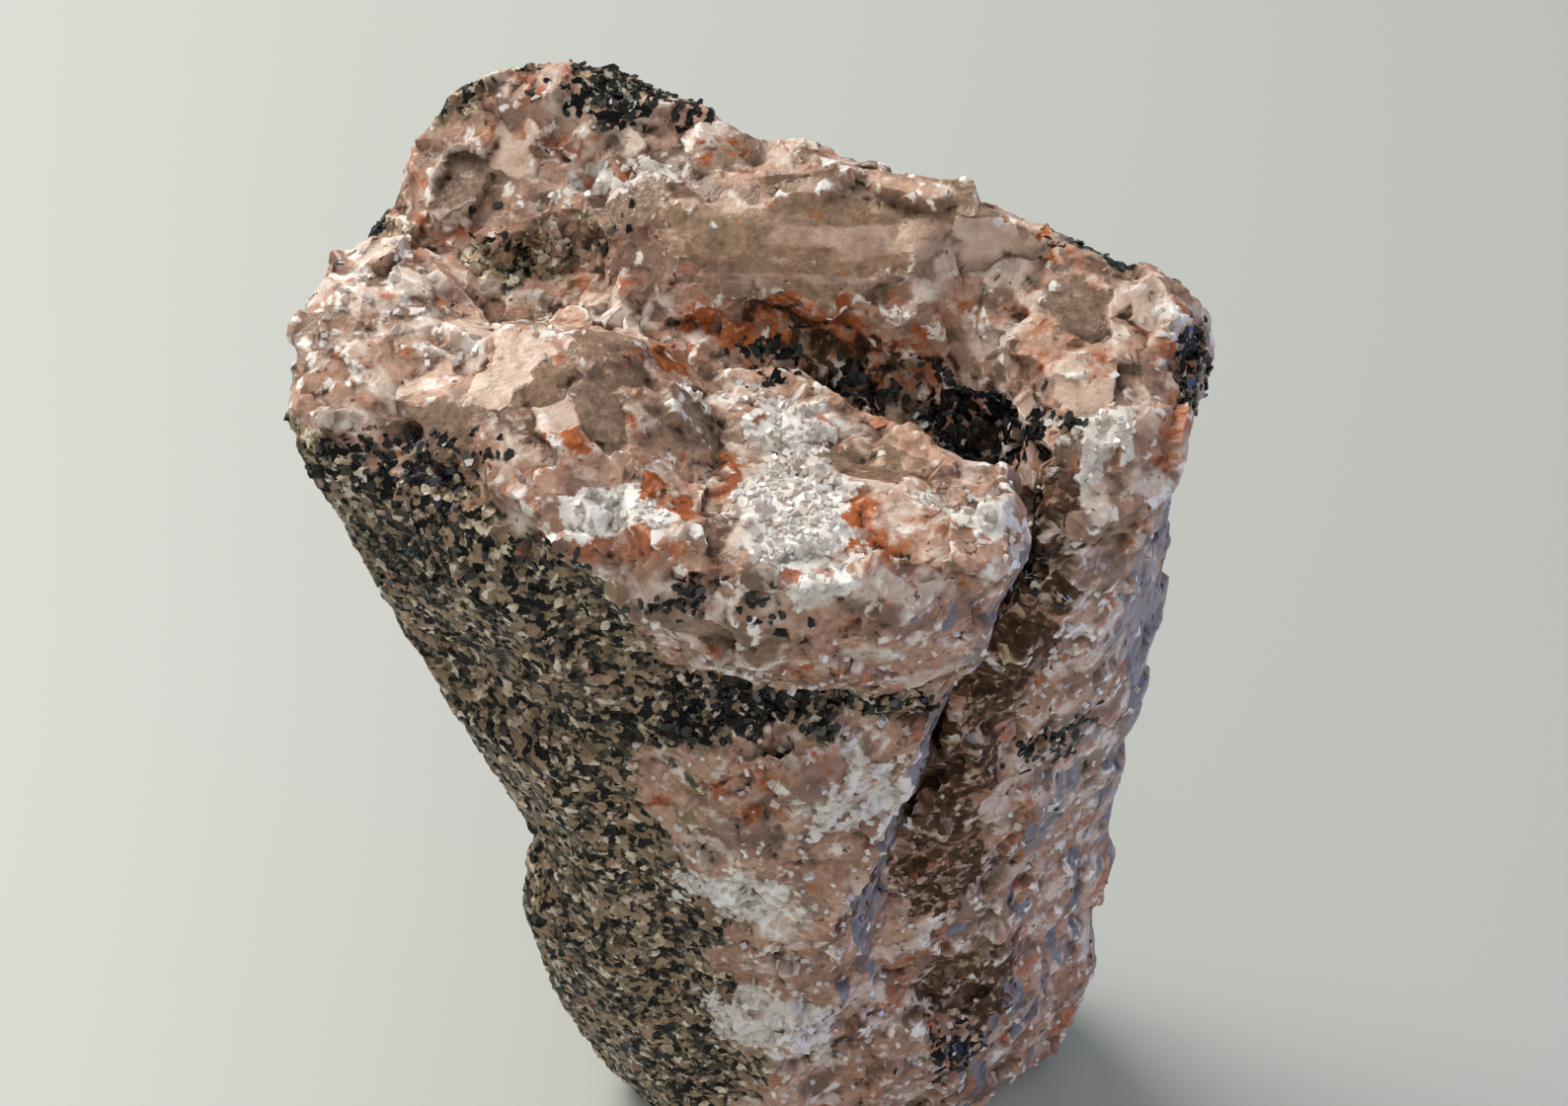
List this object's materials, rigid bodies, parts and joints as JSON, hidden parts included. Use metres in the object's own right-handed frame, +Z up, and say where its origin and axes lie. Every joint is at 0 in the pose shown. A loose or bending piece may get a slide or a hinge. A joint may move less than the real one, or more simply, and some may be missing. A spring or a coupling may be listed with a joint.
{
  "type": "pink granite specimen",
  "caption": "Rough block of pink granite, wide and broken at the top and narrowing to a small flat spot that it stands on.",
  "frame": {"origin": "middle of the flat spot that the stone rests on", "axes": "+Z up, -Y towards the front with the crevice, +X towards the smooth right-hand side"},
  "size_m": [0.1027, 0.0719, 0.1361],
  "materials": {
    "granite": "rough broken granite with pink feldspar, smoky quartz and black mica"
  },
  "bodies": {
    "root": {"pink_granite": "granite"}
  },
  "joints": []
}
